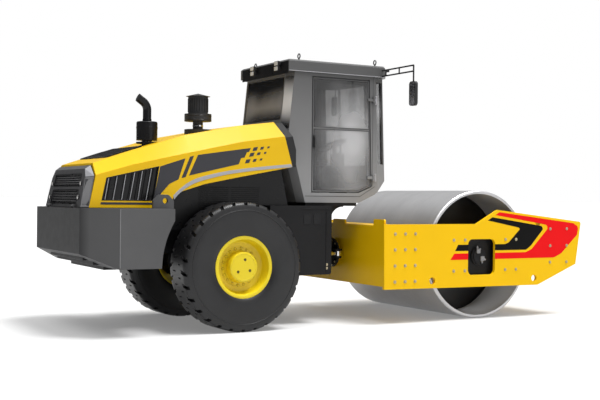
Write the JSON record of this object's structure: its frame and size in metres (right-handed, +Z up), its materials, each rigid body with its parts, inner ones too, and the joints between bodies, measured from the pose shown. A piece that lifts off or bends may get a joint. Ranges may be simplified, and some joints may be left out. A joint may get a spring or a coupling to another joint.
{
  "type": "single drum roller",
  "caption": "Articulated single drum soil compactor with a smooth steel drum, two drive wheels, rear hood and closed cab.",
  "frame": {"origin": "on the ground under the centre of the machine's length and width", "axes": "+X forward to the drum, +Y left, +Z up"},
  "size_m": [7.0724, 2.884, 3.3963],
  "materials": {
    "yellow_paint": "gloss",
    "dark_grey_paint": "semi-gloss",
    "cab_paint": "satin",
    "black_paint": "satin",
    "engine_iron": "rough",
    "drum_steel": "rolled",
    "tyre_rubber": "moulded",
    "seal_rubber": "matt",
    "window_glass": "tinted",
    "seat_fabric": "woven",
    "black_plastic": "moulded",
    "lamp_lens": "clear",
    "chromed_rod": "polished"
  },
  "bodies": {
    "rear_frame": {"rear_frame": "black_paint", "counterweight": "dark_grey_paint", "fuel_tank": "black_paint", "hydraulic_tank": "black_paint", "engine_block": "engine_iron", "radiator": "black_paint", "engine_louvres": "black_paint", "rear_axle": "black_paint", "cab_platform": "black_paint", "cab_frame": "cab_paint", "cab_roof": "cab_paint", "cab_glass": "window_glass", "hood_seal": "seal_rubber", "seat": "seat_fabric", "steering_console": "black_plastic", "mirrors": "black_plastic", "work_lamps": "lamp_lens", "lifting_lugs": "dark_grey_paint"},
    "hood": {"hood_shell": "yellow_paint", "hood_rear_cover": "dark_grey_paint", "hood_vents": "black_plastic", "exhaust_stack": "black_paint", "air_precleaner": "black_plastic", "tail_lamps": "lamp_lens"},
    "right_door": {"door_right": "cab_paint", "door_glass_right": "window_glass"},
    "left_door": {"door_left": "cab_paint", "door_glass_left": "window_glass"},
    "right_wheel": {"tyre_right": "tyre_rubber", "rim_right": "yellow_paint"},
    "left_wheel": {"tyre_left": "tyre_rubber", "rim_left": "yellow_paint"},
    "hitch": {"hitch_yoke": "black_paint"},
    "right_barrel": {"cylinder_barrel_right": "black_paint"},
    "left_barrel": {"cylinder_barrel_left": "black_paint"},
    "right_rod": {"cylinder_rod_right": "chromed_rod"},
    "left_rod": {"cylinder_rod_left": "chromed_rod"},
    "front_frame": {"side_plates": "yellow_paint", "rear_crossbeam": "yellow_paint", "front_crossbeam": "yellow_paint", "drum_carriers": "black_paint", "rubber_buffers": "seal_rubber", "drum_motors": "black_paint", "scrapers": "black_paint"},
    "drum": {"drum_shell": "drum_steel"}
  },
  "joints": [
    {"name": "steer", "type": "hinge", "parent": "rear_frame", "child": "hitch", "pos_m": [-0.06, 0, 0.85], "axis": [0, 0, 1], "range_deg": [-35, 35]},
    {"name": "oscillate", "type": "hinge", "parent": "hitch", "child": "front_frame", "pos_m": [0.2, 0, 0.85], "axis": [1, 0, 0], "range_deg": [-10, 10]},
    {"name": "drum_roll", "type": "hinge", "parent": "front_frame", "child": "drum", "pos_m": [1.856, 0, 0.85], "axis": [0, 1, 0], "continuous": true},
    {"name": "right_wheel_roll", "type": "hinge", "parent": "rear_frame", "child": "right_wheel", "pos_m": [-1.64, -0.9, 0.761], "axis": [0, 1, 0], "continuous": true},
    {"name": "left_wheel_roll", "type": "hinge", "parent": "rear_frame", "child": "left_wheel", "pos_m": [-1.64, 0.9, 0.761], "axis": [0, 1, 0], "continuous": true},
    {"name": "hood_lift", "type": "hinge", "parent": "rear_frame", "child": "hood", "pos_m": [-3.495, 0, 1.466], "axis": [0, -1, 0], "range_deg": [0, 50]},
    {"name": "right_door_swing", "type": "hinge", "parent": "rear_frame", "child": "right_door", "pos_m": [0.432, -0.676, 2.38], "axis": [0, 0, 1], "range_deg": [0, 80]},
    {"name": "left_door_swing", "type": "hinge", "parent": "rear_frame", "child": "left_door", "pos_m": [0.432, 0.676, 2.38], "axis": [0, 0, -1], "range_deg": [0, 80]},
    {"name": "right_barrel_swing", "type": "hinge", "parent": "rear_frame", "child": "right_barrel", "pos_m": [-0.84, -0.285, 0.85], "axis": [0, 0, 1], "range_deg": [-7.2, 7.2]},
    {"name": "right_rod_slide", "type": "slide", "parent": "right_barrel", "child": "right_rod", "axis": [1, 0.0096, 0], "range_m": [-0.169, 0.169]},
    {"name": "left_barrel_swing", "type": "hinge", "parent": "rear_frame", "child": "left_barrel", "pos_m": [-0.84, 0.285, 0.85], "axis": [0, 0, 1], "range_deg": [-7.2, 7.2]},
    {"name": "left_rod_slide", "type": "slide", "parent": "left_barrel", "child": "left_rod", "axis": [1, -0.0096, 0], "range_m": [-0.169, 0.169]}
  ],
  "couplings": [
    {"joint": "right_barrel_swing", "follows": "steer", "ratio": 0.1923},
    {"joint": "right_rod_slide", "follows": "steer", "m_per_rad": 0.2685},
    {"joint": "left_barrel_swing", "follows": "steer", "ratio": 0.1923},
    {"joint": "left_rod_slide", "follows": "steer", "m_per_rad": -0.2685}
  ]
}
